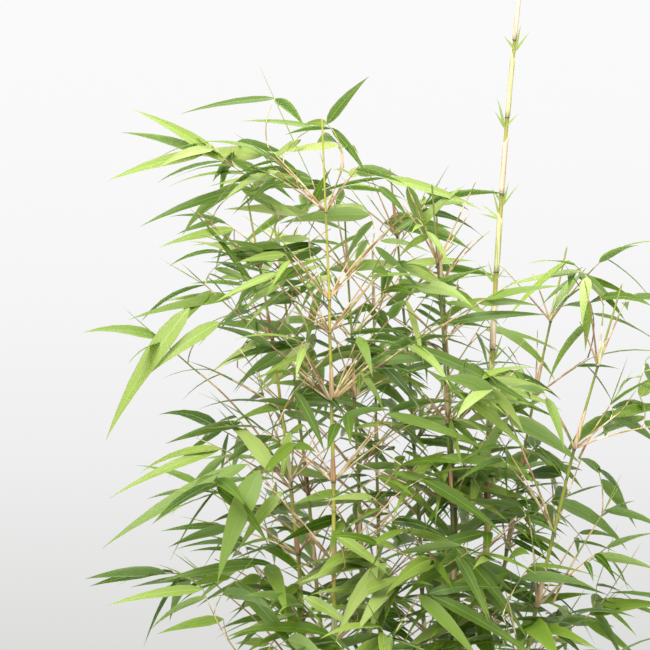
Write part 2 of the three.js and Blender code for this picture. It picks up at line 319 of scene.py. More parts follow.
def vein_group():
    """Parallel veins along a leaf: fine waves across the leaf's own surface map, which is in
    metres. Puts out a height."""
    group = bpy.data.node_groups.new("leaf_veins", "ShaderNodeTree")
    group.interface.new_socket(
        name="Spacing", in_out="INPUT", socket_type="NodeSocketFloat").default_value = 0.9
    for label in ("Height", "Roughness"):
        group.interface.new_socket(name=label, in_out="OUTPUT", socket_type="NodeSocketFloat")
    n = Nodes(group)
    source, sink = n.add("NodeGroupInput"), n.add("NodeGroupOutput")
    place = n.add("ShaderNodeUVMap", uv_map="surface")
    wave = n.add("ShaderNodeTexWave", wave_type="BANDS", bands_direction="X", inputs={
        "Distortion": 0.6, "Detail": 1.0, "Detail Scale": 20.0})
    rate = n.add("ShaderNodeMath", operation="DIVIDE", inputs={0: 320.0})
    n.join(source.outputs["Spacing"], rate.inputs[1]).join(rate.outputs[0], wave.inputs["Scale"])
    n.join(place.outputs[0], wave.inputs["Vector"])
    patch = n.add("ShaderNodeTexNoise", inputs={"Scale": 60.0, "Detail": 2.0})
    spot = n.add("ShaderNodeTexCoord")
    n.join(spot.outputs["Object"], patch.inputs["Vector"])
    rough = n.add("ShaderNodeMath", operation="MULTIPLY_ADD", inputs={1: 0.22, 2: 0.32})
    n.join(patch.outputs[0], rough.inputs[0]).join(rough.outputs[0], sink.inputs["Roughness"])
    n.join(wave.outputs[1], sink.inputs["Height"])
    return group


VEINS = vein_group()


def leafy(name, colour, glow=0.25):
    """A leaf's surface: one plain colour with fine parallel veins and a soft sheen."""
    material = shade(name, colour, 0.45, Subsurface_Weight=glow, Subsurface_Scale=0.0015,
                     Subsurface_Radius=(0.6, 1.0, 0.25), Specular_IOR_Level=0.3)
    n = Nodes(material.node_tree)
    shader = material.node_tree.nodes["Principled BSDF"]
    vein = n.add("ShaderNodeGroup", node_tree=VEINS)
    bump = n.add("ShaderNodeBump", inputs={"Strength": 0.35, "Distance": 0.0001})
    n.join(vein.outputs["Height"], bump.inputs["Height"])
    n.join(vein.outputs["Roughness"], shader.inputs["Roughness"])
    n.join(bump.outputs["Normal"], shader.inputs["Normal"])
    return material


# Leaf tops from darkest to lightest: partly the leaves' own spread of colour, partly painted light
# and shade. The two darkest tints are painted shade for leaves inside, low and at the back of the
# crown; the two lightest are painted light for leaves lit from the front and lit through from behind.
LEAF_TOPS = [
    leafy("leaf_top_shaded", srgb(48, 70, 8)), leafy("leaf_top_deep", srgb(72, 98, 18)),
    leafy("leaf_top_green", srgb(102, 127, 40)), leafy("leaf_top_fresh", srgb(128, 150, 60)),
    leafy("leaf_top_lit", srgb(146, 164, 86)), leafy("leaf_top_backlit", srgb(158, 174, 94), 0.3),
]
LEAF_BACKS = [
    leafy("leaf_back_grey", srgb(100, 126, 62)), leafy("leaf_back_green", srgb(130, 155, 84)),
    leafy("leaf_back_light", srgb(152, 174, 100)),
]
LEAF_RIBS = [leafy("leaf_rib_light", srgb(150, 174, 88)), leafy("leaf_rib_green", srgb(112, 138, 54))]
LEAF_SLOTS = LEAF_TOPS + LEAF_BACKS + LEAF_RIBS
# The back and rib of each leaf follow its top's tint, so they carry the same painted light and shade.
BACK_OF = np.array([0, 0, 0, 1, 1, 2]) + len(LEAF_TOPS)
RIB_OF = np.array([1, 1, 1, 0, 0, 0]) + len(LEAF_TOPS) + len(LEAF_BACKS)

TWIG_COLOURS = [
    shade("twig_tan", srgb(194, 166, 120), 0.6), shade("twig_chestnut", srgb(158, 122, 88), 0.6),
    shade("twig_olive", srgb(142, 136, 66), 0.5), shade("twig_green", srgb(116, 136, 58), 0.5),
    shade("twig_cream", srgb(216, 202, 168), 0.65),
]
for coloured in TWIG_COLOURS:
    fibrous(coloured, 1400.0, 0.1, 0.2, 0.00008)
TAN, CHESTNUT, OLIVE, GREEN, CREAM = range(5)


def papery(name, dark, pale, density=520.0):
    """A dry sheath: fine streaks along the cane between a darker and a paler colour."""
    material = shade(name, pale, 0.6)
    fibre = fibrous(material, density, 0.03, 0.2, 0.00012)
    n = Nodes(material.node_tree)
    ramp = n.add("ShaderNodeValToRGB")
    stops = ramp.color_ramp.elements
    stops[0].position, stops[0].color = 0.38, (*dark, 1)
    stops[1].position, stops[1].color = 0.62, (*pale, 1)
    n.join(fibre.outputs["Mask"], ramp.inputs[0])
    n.join(ramp.outputs[0], material.node_tree.nodes["Principled BSDF"].inputs["Base Color"])
    return material


SHEATHS = [
    papery("sheath_chestnut", srgb(142, 102, 64), srgb(184, 146, 104)),
    papery("sheath_tan", srgb(176, 146, 104), srgb(212, 188, 146)),
    papery("sheath_rosy", srgb(202, 176, 142), srgb(232, 214, 184)),
    papery("sheath_straw", srgb(168, 172, 106), srgb(216, 212, 160)),
]
RUSSET_SHEATH, TAN_SHEATH, ROSY_SHEATH, STRAW_SHEATH = range(4)


# ---------- the limbs ----------
CANE_NODE, BRANCH, TWIG = range(3)  # kinds of limb: a branch is a bough or a thin branch of a fan
COST_OF_KIND = np.array([30, 0, 18]) * MM
COST_OF_LOAD = 3 * MM  # for each twig that a place already bears
EASY_LEAN = 42  # degrees from upright that a twig likes best
STEEPEST_LEAN, COST_OF_DROOPING = 85, 0.3
COST_OF_FAR, NEAREST, COST_OF_NEAR = 0.4, 18 * MM, 0.2


class Limbs:
    """Every place that a twig can grow from: its point, its heading, and the kind of limb."""

    def __init__(self):
        self.points, self.headings, self.kinds, self.loads = [], [], [], []

    def add(self, points, headings, kind):
        """Adds a limb's places, none of which bears a twig yet."""
        self.points += list(points)
        self.headings += list(headings)
        self.kinds += [kind] * len(points)
        self.loads += [0] * len(points)

    def best_for(self, target, longest):
        """The place that a twig to this target grows from: near it, below it, at about the easy
        lean from upright, and less likely for each twig that the place already bears."""
        points = np.array(self.points)
        span = target - points
        distance = np.linalg.norm(span, axis=1)
        lean = np.degrees(np.arccos(np.clip(span[:, 2] / distance, -1, 1)))
        kinds, loads = np.array(self.kinds), np.array(self.loads)
        cost = distance * (1 + 1.5 * np.abs(lean - EASY_LEAN) / EASY_LEAN) + COST_OF_LOAD * loads
        cost += (np.where(lean > STEEPEST_LEAN, COST_OF_DROOPING, 0)
                 + np.where(distance > longest, COST_OF_FAR, 0))
        cost += np.where(distance < NEAREST, COST_OF_NEAR, 0) + COST_OF_KIND[kinds]
        return int(np.argmin(cost))


limbs = Limbs()


def cane_nodes(line, tip_height):
    """Heights of a cane's nodes: the places where its boughs leave it, and evenly spaced ones
    between them at about the length of an internode, closer towards the tip."""
    marks = [line[0][2], tip_height]
    for bough in BOUGHS:
        foot = middle_line(bough)[0][0]
        nearest = np.linalg.norm(line - foot, axis=1).min()
        if nearest < WOOD_TO_WOOD:
            marks.append(foot[2] - 2 * MM)
    marks = sorted(marks)
    heights = []
    for low, high in zip(marks[:-1], marks[1:]):
        spacing = INTERNODE * (1.0 - 0.22 * (low - marks[0]) / 0.8)
        steps = max(1, round((high - low) / spacing))
        heights += list(np.linspace(low, high, steps + 1)[:-1])
    return np.array(heights[1:])


CANE_SIDES = 14
CANE_FIT = 0.97  # share of the CAD radius, so that the swollen nodes stay near it
ZIGZAG = 0.35 * MM  # a cane bends to and fro by this much at its nodes
NODE_PROFILE = [  # offset along the cane from a node in mm, swelling as a share of the radius
    (-24, 0.0), (-9, 0.01), (-3, 0.05), (-1.2, 0.12), (-0.5, 0.22), (0.0, 0.24), (0.5, 0.12),
    (1.1, 0.1), (3.0, 0.12), (6.0, 0.04), (12, 0.0),
]


class Cane:
    """One cane: its smooth middle line, radius, nodes and the sheath on each internode."""

    def __init__(self, name):
        line, radius = middle_line(name)
        self.name = name
        self.path = smooth_line(line, 400)[0]
        self.path[:, 2] = np.maximum(self.path[:, 2], line[0][2])
        self.radius = np.interp(self.path[:, 2], line[:, 2], radius) * CANE_FIT
        self.heights = cane_nodes(self.path, self.path[-1][2])
        self.shoot = name == "cane_tall_shoot"

    def point(self, height):
        """The middle of the cane at a height."""
        return np.stack([np.interp(height, self.path[:, 2], self.path[:, k]) for k in range(3)], -1)

    def thickness(self, height):
        """The cane's radius at a height."""
        return np.interp(height, self.path[:, 2], self.radius)


canes = [Cane(name) for name in CANES]


def build_canes():
    """All canes as one skin: rings up each cane, swollen at each node by the node's profile."""
    points, quads, caps, values = [], [], [], {"from_node": [], "cane_tint": []}
    base = 0
    for cane in canes:
        low, high = cane.path[0][2], cane.path[-1][2]
        heights = [low, low + 1 * MM, low + 4 * MM, low + 9 * MM]
        swells = [0.0, 0.0, 0.0, 0.0]
        for node in cane.heights:
            for offset, swell in NODE_PROFILE:
                heights.append(node + offset * MM)
                swells.append(swell)
        middles = (cane.heights[:-1] + cane.heights[1:]) / 2
        heights += list(middles) + [high - 3 * MM, high]
        swells += [0.0] * (len(middles) + 2)
        order = np.argsort(heights)
        heights = np.clip(np.array(heights)[order], low, high)
        swells = np.array(swells)[order]
        keep = np.r_[True, np.diff(heights) > 0.2 * MM]
        heights, swells = heights[keep], swells[keep]
        path = cane.point(heights)
        zigzag = ZIGZAG * np.sin(np.interp(
            heights, cane.heights, np.arange(len(cane.heights)) * math.pi + math.pi / 2))
        path[:, 0] += zigzag * (heights < high - 0.02)
        swells = swells * np.interp(heights, [low, high], [1.0, 1.6])
        radius = cane.thickness(heights) * (1 + swells)
        radius[-1] *= 0.3
        rings = tube_rings(path[None], radius[None], CANE_SIDES)
        p, q, c = skin(rings)
        nearest = np.abs(heights[:, None] - cane.heights[None]).argmin(1)
        gap = np.repeat((heights - cane.heights[nearest]) / MM, CANE_SIDES)
        points.append(p)
        quads.append(q.reshape(-1, 4) + base)
        caps.append(c + base)
        values["from_node"].append(gap)
        values["cane_tint"].append(np.full(len(p), CANE_TINT[cane.name]))
        base += len(p)
    return add_mesh(
        "canes", np.concatenate(points), [np.concatenate(quads), np.concatenate(caps)],
        [cane_material()], values={k: np.concatenate(v) for k, v in values.items()})


# How far each cane has ripened from dark green (0) to yellow-green (1).
CANE_TINT = {
    "cane_centre": 0.8, "cane_left": 0.75, "cane_middle": 0.4, "cane_tall_shoot": 0.85,
    "cane_right_front": 0.25, "cane_right_rear": 0.3, "cane_far_right": 0.5,
    "cane_far_right_rear": 0.6, "cane_inner": 0.3, "cane_back_left": 0.6, "cane_back": 0.5,
}


def cane_material():
    """Green to yellow-green cane with a dark ring at each node, and painted shade below each node."""
    material = shade("cane_skin", srgb(140, 146, 62), 0.4)
    fibre = fibrous(material, 700.0, 0.03, 0.15, 0.0001)
    n = Nodes(material.node_tree)
    shader = material.node_tree.nodes["Principled BSDF"]
    tint = n.add("ShaderNodeAttribute", attribute_name="cane_tint")
    ripe = n.add("ShaderNodeMath", operation="MULTIPLY_ADD", use_clamp=True, inputs={1: 0.5})
    n.join(fibre.outputs["Mask"], ripe.inputs[0])
    less = n.add("ShaderNodeMath", operation="SUBTRACT", inputs={1: 0.25})
    n.join(tint.outputs["Fac"], less.inputs[0]).join(less.outputs[0], ripe.inputs[2])
    body = n.add("ShaderNodeValToRGB")
    stops = body.color_ramp.elements
    stops[0].position, stops[0].color = 0.0, (*srgb(66, 84, 36), 1)
    stops[1].position, stops[1].color = 1.0, (*srgb(190, 178, 78), 1)
    middle = stops.new(0.5)
    middle.color = (*srgb(136, 142, 54), 1)
    n.join(ripe.outputs[0], body.inputs[0])
    gap = n.add("ShaderNodeAttribute", attribute_name="from_node")
    # Painted shade: over the last 24 mm below each node the colour darkens towards a dark olive, more
    # on the greener canes.
    under_node_shade = n.add("ShaderNodeMapRange", interpolation_type="SMOOTHSTEP",
                  inputs={"From Min": -24.0, "From Max": -1.0, "To Min": 0.0, "To Max": 0.8})
    ring = n.add("ShaderNodeMapRange", interpolation_type="SMOOTHSTEP",
                 inputs={"From Min": -1.0, "From Max": -0.4, "To Min": 0.0, "To Max": 1.0})
    over = n.add("ShaderNodeMapRange", interpolation_type="SMOOTHSTEP",
                 inputs={"From Min": 0.1, "From Max": 0.6, "To Min": 1.0, "To Max": 0.0})
    for band in (under_node_shade, ring, over):
        n.join(gap.outputs["Fac"], band.inputs[0])
    shadow, thin = (n.add("ShaderNodeMath", operation="MULTIPLY") for _ in range(2))
    unripe = n.add("ShaderNodeMath", operation="MULTIPLY_ADD", inputs={1: -0.75, 2: 1.1})
    shadowed = n.add("ShaderNodeMath", operation="MULTIPLY")
    n.join(tint.outputs["Fac"], unripe.inputs[0]).join(unripe.outputs[0], shadowed.inputs[0])
    n.join(under_node_shade.outputs[0], shadowed.inputs[1])
    n.join(shadowed.outputs[0], shadow.inputs[0]).join(over.outputs[0], shadow.inputs[1])
    n.join(ring.outputs[0], thin.inputs[0]).join(over.outputs[0], thin.inputs[1])
    below = n.add("ShaderNodeMix", data_type="RGBA")
    below.inputs["B"].default_value = (*srgb(62, 70, 44), 1)
    n.join(shadow.outputs[0], below.inputs["Factor"]).join(body.outputs[0], below.inputs["A"])
    mixed = n.add("ShaderNodeMix", data_type="RGBA")
    mixed.inputs["B"].default_value = (*srgb(50, 42, 26), 1)
    n.join(thin.outputs[0], mixed.inputs["Factor"]).join(below.outputs["Result"], mixed.inputs["A"])
    n.join(mixed.outputs["Result"], shader.inputs["Base Color"])
    return material


# ---------- sheaths on the canes ----------
def next_node(cane, node):
    """Height of the first node above this one, or of the cane's tip."""
    above = cane.heights[cane.heights > node + 1 * MM]
    return above[0] if len(above) else cane.path[-1][2]


def sheath_rings(cane, node, length, gap_foot, gap_top, turn):
    """One sheath as rings of sixteen points: up the outside from just above a node, over the top
    and down the inside. Its radius is the cane's plus a gap that runs evenly from the foot's to
    the top's, and its top edge falls away from the side that its blade stands on."""
    steps, sides, wall = 9, 16, 0.3 * MM
    share = np.linspace(0, 1, steps)[:, None]
    angle = np.linspace(0, 2 * math.pi, sides, endpoint=False)[None]
    slant = 0.5 + 0.5 * np.cos(angle - turn)
    height = node + 0.8 * MM + share * length * (0.84 + 0.16 * slant ** 2)
    radius = cane.thickness(height) + gap_foot + (gap_top - gap_foot) * share
    centre = cane.point(height)
    around = np.stack([np.cos(angle), np.sin(angle), np.zeros_like(angle)], -1)
    outside = centre + radius[..., None] * around
    inside = centre + (radius - wall)[..., None] * around
    return np.concatenate([inside[:1], outside, inside[::-1][:-1]])


def build_cane_sheaths():
    """Papery sheaths round the canes. The tall shoot's are fresh, loose and nearly as long as
    its internodes; the older canes' are shrunken cones that hug them."""
    rings_all, slots = [], []
    for cane in canes:
        top = cane.path[-1][2]
        for number, node in enumerate(cane.heights):
            room = min(next_node(cane, node), top) - node - 2 * MM
            turn = (number % 2) * math.pi
            if cane.shoot and node > SHOOT_FRESH:
                length = room * (0.72 + 0.25 * RNG.random())
                rings_all.append(sheath_rings(cane, node, length, 0.7 * MM, 0.9 * MM, turn))
                slots.append((ROSY_SHEATH, STRAW_SHEATH)[number % 2])
            elif RNG.random() < 0.8 and node > 0.24:
                length = min(room, (24 + 22 * RNG.random()) * MM)
                turn = RNG.random() * 2 * math.pi
                rings_all.append(sheath_rings(cane, node, length, 1.0 * MM, 0.35 * MM, turn))
                slots.append((RUSSET_SHEATH, TAN_SHEATH, STRAW_SHEATH, TAN_SHEATH)[number % 4])
    rings = np.array(rings_all)
    n, r, k = rings.shape[:3]
    index = np.arange(n * r * k).reshape(n, r, k)
    closed = np.concatenate([index, index[:, :1]], axis=1)
    turned = np.roll(closed, -1, axis=2)
    quads = np.stack([closed[:, :-1], turned[:, :-1], turned[:, 1:], closed[:, 1:]], -1)
    return add_mesh("cane_sheaths", rings.reshape(-1, 3), [quads.reshape(-1, 4)], SHEATHS,
                    slots=np.repeat(slots, r * k))


SHOOT_FRESH = 0.66  # the tall shoot still wears fresh sheaths above this height


def shoot_blades():
    """The small blades on the tall shoot: a pair spread in a V on the top of each sheath, and now
    and then a tuft of three longer ones on a bud beside it."""
    cane = next(c for c in canes if c.shoot)
    found = []
    for number, node in enumerate(cane.heights):
        if node < SHOOT_FRESH:
            continue
        side = 1 if number % 2 else -1
        height = node + 0.86 * (next_node(cane, node) - node)
        foot = cane.point(height) + np.array([side * 2.2 * MM, -1.0 * MM, 0])
        for way, reach in ((side, 20), (-side, 13), (side * 0.3, 24)):
            heading = unit(np.array([way * (0.55 + 0.4 * RNG.random()), -0.2, 0.9]))
            long = (reach + 9 * RNG.random()) * MM
            found.append((foot, heading, long, RNG.uniform(1.8, 3.2) * MM))
        if number % 3 == 1:
            for way in (0.25, 0.8, 1.6):
                heading = unit(np.array([-side * way, RNG.normal(0, 0.3), 1.0 - 0.35 * way]))
                long = (22 + 18 * RNG.random()) * MM
                found.append((cane.point(height - 14 * MM), heading, long, 2.2 * MM))
    return found


# ---------- boughs ----------
BOUGH_POINTS = 26
BOUGH_RUNS_ON = 0.35  # each bough goes on into its mass by this share of its CAD length
BOUGH_RADII = (1.25 * MM, 0.6 * MM)  # at its foot and at its tip
TWIGS_APART = 24 * MM  # distance between the places along a bough that twigs can grow from

bough_paths = []
for name in BOUGHS:
    path, at = smooth_line(middle_line(name)[0], BOUGH_POINTS, BOUGH_RUNS_ON)
    bough_paths.append(path)
    step = max(1, int(TWIGS_APART / (at[1] - at[0])))
    limbs.add(path[4::step], tangents(path)[4::step], BRANCH)

for cane in canes:
    if cane.shoot:
        continue
    above = cane.heights[cane.heights > LOWEST_BRANCH]
    if len(above):
        headings = tangents(cane.path)
        tips = np.array([headings[np.abs(cane.path[:, 2] - h).argmin()] for h in above])
        limbs.add(cane.point(above), tips, CANE_NODE)


# ---------- growing the twigs and their leaves ----------
twig_paths, twig_radii, twig_kinds = [], [], []
leaf_rows, rolled_rows = [], []
LOW = np.array(CAD_BOX[0]) - TIP_SPACE
HIGH = np.array(CAD_BOX[1]) + TIP_SPACE
TWIG_POINTS = 9
LONGEST_TWIG = 200 * MM
LONGEST_MARKED_TWIG = 240 * MM
TOP_LEFT_ROLLED_LEAF = (np.array([-0.46, -0.05, 1.0]), 0.137)  # its heading and its length

# How many thin branches stand in a fan at each node, and which way its middle first faces, in
# degrees from the right: the canes in front face the viewer, so their fans open to both sides.
FANS = {
    "cane_centre": (7, 262), "cane_left": (5, 250), "cane_middle": (5, 285),
    "cane_inner": (5, 80), "cane_right_front": (5, 300), "cane_right_rear": (4, 60),
    "cane_far_right": (4, 330), "cane_far_right_rear": (4, 40), "cane_back_left": (5, 120),
    "cane_back": (5, 90),
}
fan_tips = []


def grow_fan(cane, node, facing, count):
    """A fan of thin branches at a node. They leave the cane about 40 degrees from its heading
    and open to about 52, most of them towards the fan's two sides."""
    index = np.abs(cane.path[:, 2] - node).argmin()
    heading = tangents(cane.path)[index]
    height_share = np.clip((node - LOWEST_BRANCH) / 0.6, 0, 1)
    for k in range(count):
        side = 1 if k % 2 else -1
        turn = facing + side * RNG.uniform(35, 98)
        outward = np.array([math.cos(math.radians(turn)), math.sin(math.radians(turn)), 0])
        outward = unit(outward - heading * np.dot(outward, heading))
        lean = math.radians(RNG.normal(41, 8))
        opened = lean + math.radians(RNG.uniform(2, 20))
        length = RNG.uniform(62, 136) * MM * (1 - 0.35 * height_share)
        start = math.cos(lean) * heading + math.sin(lean) * outward
        finish = math.cos(opened) * heading + math.sin(opened) * outward
        s = np.linspace(0, 1, TWIG_POINTS)[:, None]
        foot = cane.point(node + 1.5 * MM) + outward * cane.thickness(node) * 0.8
        path = foot + length * (s * start + s ** 2 / 2 * (finish - start))
        knots = 1 + 0.1 * (np.arange(TWIG_POINTS) % 2)
        twig_paths.append(path)
        twig_radii.append(np.linspace(1.05, 0.5, TWIG_POINTS) * MM * knots)
        twig_kinds.append(CANE_NODE)
        fan_tips.append((path, len(limbs.points)))
        limbs.add(path[4::2], tangents(path)[4::2], BRANCH)


def grow_fans():
    """A fan at every node of the canes above the lowest branch, facing to and fro by turns."""
    for cane in canes:
        if cane.shoot:
            continue
        count, facing = FANS[cane.name]
        top = cane.path[-1][2]
        for number, node in enumerate(h for h in cane.heights if LOWEST_BRANCH < h < top - 0.04):
            grow_fan(cane, node, facing + 180 * (number % 2) + RNG.normal(0, 14), count)


def finish_boughs():
    """Leaves and a rolled leaf at the tip of each bough. The top left one has the longest."""
    for name, path in zip(BOUGHS, bough_paths):
        end = path[-TWIG_POINTS:]
        spray(end, RNG.uniform(0.07, 0.1), int(RNG.integers(2, 5)) - 1, 2, 1.2)
        ahead, reach = unit(end[-1] - end[-3]), RNG.uniform(0.03, 0.05)
        if name == "bough_top_left":
            ahead, reach = unit(TOP_LEFT_ROLLED_LEAF[0]), TOP_LEFT_ROLLED_LEAF[1]
        rolled_rows.append((end[-1], ahead, reach))


def finish_fans():
    """Gives leaves to the ends of the fans' branches that no twig has grown from."""
    for path, first in fan_tips:
        if any(limbs.loads[first:first + 3]):
            continue
        if RNG.random() < max(1.1 * fullness(path[-1]), 0.5 * (path[-1][0] > 0.12)):
            tint = int(RNG.integers(0, 4))
            spray(path, RNG.uniform(0.055, 0.085), tint, int(RNG.integers(2, 4)))


RADIUS_OF_KIND = (0.95, 0.8, 0.65)  # in mm, of a twig's foot on a cane's node, branch or twig
BRANCHES_AGAIN = 45 * MM  # a twig longer than this bears further twigs


def grow_twig(target, longest=LONGEST_TWIG):
    """A twig from the best limb to a target: an arc that leaves the limb part of the way along
    its heading and bends out to the target. Returns its path."""
    spot = limbs.best_for(target, longest)
    foot, heading, kind = limbs.points[spot], limbs.headings[spot], limbs.kinds[spot]
    limbs.loads[spot] += 1
    span = target - foot
    distance = np.linalg.norm(span)
    start = unit(0.6 * unit(span) + 0.4 * heading)
    bend = foot + start * distance * 0.5 + RNG.normal(0, 0.02, 3) * distance
    s = np.linspace(0, 1, TWIG_POINTS)[:, None]
    path = (1 - s) ** 2 * foot + 2 * s * (1 - s) * bend + s ** 2 * target
    thick = RADIUS_OF_KIND[kind] * MM * (0.8 + 2.2 * distance)
    twig_paths.append(path)
    twig_radii.append(np.linspace(thick, 0.42 * MM, TWIG_POINTS))
    twig_kinds.append(kind)
    if distance > BRANCHES_AGAIN:
        limbs.add(path[3:8:2], tangents(path)[3:8:2], TWIG)
    return path


ROLLED_SHARE = 0.45  # of the sprays end in a new leaf that is still rolled
STEEPEST_HANG = -72  # degrees


def spray(path, length, tint, count, spread=1.0):
    """A fan of leaves on a twig's end: leaves on alternate sides, the newest at the tip nearly
    straight ahead, the older ones turned further aside and hanging lower."""
    ahead = unit(path[-1] - path[-2])
    outward = unit(np.array([ahead[0], ahead[1], 0]) + 0.35 * unit(
        np.array([path[-1][0], path[-1][1], 0])))
    azimuth = math.atan2(outward[1], outward[0])
    reach = np.linalg.norm(path[-1] - path[0])
    for k in range(count):
        back = min(0.75, k * 8 * MM / max(reach, 20 * MM))
        where = (1 - back) * (TWIG_POINTS - 1)
        low = int(where)
        foot = path[low] + (path[min(low + 1, TWIG_POINTS - 1)] - path[low]) * (where - low)
        side = 1 if k % 2 else -1
        turn = azimuth + side * math.radians(spread * (10 + 13 * k + RNG.uniform(-8, 14)))
        rise = max(math.radians(RNG.normal(-10 - 6 * k, 16)), math.radians(STEEPEST_HANG))
        chord = np.array([math.cos(turn) * math.cos(rise), math.sin(turn) * math.cos(rise),
                          math.sin(rise)])
        size = length * (1 - 0.07 * k) * RNG.uniform(0.82, 1.12)
        roll = math.radians(RNG.normal(0, 42) + side * 12)
        facing = unit(UP * math.cos(roll) + np.cross(chord, UP) * math.sin(roll))
        droop = math.radians(RNG.uniform(10, 40))
        twist = math.radians(RNG.normal(0, 22))
        dealt = int(np.clip(tint + RNG.integers(-1, 2) * (RNG.random() < 0.35), 0, 5))
        leaf_rows.append((foot, chord, size, size * RNG.uniform(*LEAF_WIDTH), facing, droop,
                          twist, dealt))
    if RNG.random() < ROLLED_SHARE:
        rolled_rows.append((path[-1], unit(ahead + RNG.normal(0, 0.15, 3)),
                           length * RNG.uniform(0.35, 0.7)))


def inside_points(name, count):
    """Seeded points inside a CAD mass: even picks in its box, kept where a ray to the right
    crosses its surface an odd number of times."""
    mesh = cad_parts[name].data
    mesh.calc_loop_triangles()
    tree = BVHTree.FromPolygons(
        [v.co for v in mesh.vertices], [t.vertices for t in mesh.loop_triangles])
    low, high = (np.array(corner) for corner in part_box(name))
    found = []
    while len(found) < count:
        pick = low + RNG.random(3) * (high - low)
        crossings, start = 0, Vector(pick)
        while True:
            hit = tree.ray_cast(start, Vector((1, 0.013, 0.007)))
            if hit[0] is None:
                break
            crossings += 1
            start = hit[0] + Vector((1e-6, 0, 0))
        if crossings % 2:
            if all(np.linalg.norm(pick - other) > 16 * MM for other in found[-12:]):
                found.append(pick)
    return found


def volume_of(name):
    """Volume of a closed CAD mesh: the sum of its faces' tetrahedra with the origin."""
    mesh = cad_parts[name].data
    mesh.calc_loop_triangles()
    faces = np.empty(len(mesh.loop_triangles) * 3, np.int32)
    mesh.loop_triangles.foreach_get("vertices", faces)
    a, b, c = np.moveaxis(corners(name)[faces.reshape(-1, 3)], 1, 0)
    return abs(np.einsum("ij,ij->i", a, np.cross(b, c)).sum()) / 6


TO_FRONT_AND_UP = np.array([0, -0.75, 0.55])


def grow_marked():
    """The leaves with a place of their own: each hangs there, on a twig grown to its foot, with
    its face turned half to the front and half up, and some bring one or two leaves more."""
    for foot_x, foot_z, tip_x, tip_z, depth, width in MARKED_LEAVES:
        foot = np.array([foot_x, depth * 0.8, foot_z]) * MM
        tip = np.array([tip_x, depth, tip_z]) * MM
        chord, size = unit(tip - foot), np.linalg.norm(tip - foot)
        path = grow_twig(foot, LONGEST_MARKED_TWIG)
        facing = unit(TO_FRONT_AND_UP - chord * np.dot(chord, TO_FRONT_AND_UP))
        leaf_rows.append((path[-1], chord, size, width * MM, facing, math.radians(16),
                          math.radians(RNG.normal(0, 10)), int(RNG.integers(2, 5)) - 1))
        if RNG.random() < 0.45:
            spray(path, min(size, 0.1) * 0.85, int(RNG.integers(1, 4)), int(RNG.integers(1, 3)))


# Gaps in the crown, and places where the leaves crowd, as (x, z, radius, change): the first three
# in millimetres, and the last below 0 where leaves are thinned and above 0 where they crowd.
GAPS_AND_CROWDS = [
    (-196, 1000, 70, -0.95), (-150, 985, 45, -0.7), (-30, 950, 45, -0.8), (-72, 955, 35, -0.5),
    (-196, 862, 40, -0.7), (-28, 858, 40, -0.8), (65, 905, 50, -0.85), (100, 885, 50, -0.7),
    (62, 822, 55, -0.5), (-196, 758, 60, -0.95), (-238, 735, 45, -0.8), (98, 778, 40, -0.5),
    (-154, 650, 30, -0.6), (-112, 652, 30, -0.6), (-28, 652, 35, -0.6), (-240, 600, 25, -0.5),
    (-160, 902, 55, 0.7), (-112, 862, 40, 0.5), (-112, 778, 40, 0.7), (14, 736, 50, 0.8),
    (98, 694, 50, 0.8), (0, 610, 60, 0.6), (98, 610, 50, 0.8), (-196, 565, 50, 0.9),
    (-200, 655, 40, 0.6), (-262, 640, 35, -0.8), (-165, 485, 50, 0.9),
]


def fullness(place):
    """How thickly the leaves stand, from 0 to 1: thick near the clump's axis, which leans to the
    left as it rises, low down and in the crown; thin on the outskirts, and thinnest on the left
    between the lower and the upper boughs. Each gap or crowd changes it by its share times
    exp(-(d / radius)^2), d away."""
    x, y, z = place
    aside = x - np.interp(z, [0.5, 0.95], [0.05, -0.1])
    if z > 0.86 and aside > 0:
        aside *= 1.3
    core = np.interp(z, [0.45, 0.6, 0.7, 0.82, 0.9, 1.0], [0.94, 0.83, 0.56, 0.58, 0.8, 0.7])
    edge = 0.32
    if x < -0.08:
        edge = np.interp(z, [0.6, 0.66, 0.8, 0.88], [0.44, 0.14, 0.16, 0.24])
    share = np.interp(math.hypot(aside, y), [0.07, 0.16, 0.21], [core, 0.85 * core, edge])
    for gap_x, gap_z, radius, change in GAPS_AND_CROWDS:
        away = math.hypot(x / MM - gap_x, z / MM - gap_z) / radius
        share *= 1 + change * math.exp(-away ** 2)
    return float(min(share, 1))


def tint_by_painted_light(place):
    """Painted light and shade for the leaves of a spray, on the scale of LEAF_TOPS: lighter with
    height and in the crown's middle, as painted light; darker at the back, low down, most of all on
    the right, on the far left and high on the right, as painted shade; with a random spread of tone
    on top."""
    x, y, height = place
    light = 2.1 + 2.5 * (height - 0.5) / 0.5 + RNG.normal(0, 0.9) - 4.0 * max(y, 0)
    light -= (0.6 + 6.0 * max(x, 0)) * (height < 0.62) + 1.3 * (x < -0.16)
    light += 0.7 * (abs(x + 0.03) < 0.1) - 0.8 * (x > 0.08 and height > 0.75)
    return int(np.clip(round(light), 0, len(LEAF_TOPS) - 1))


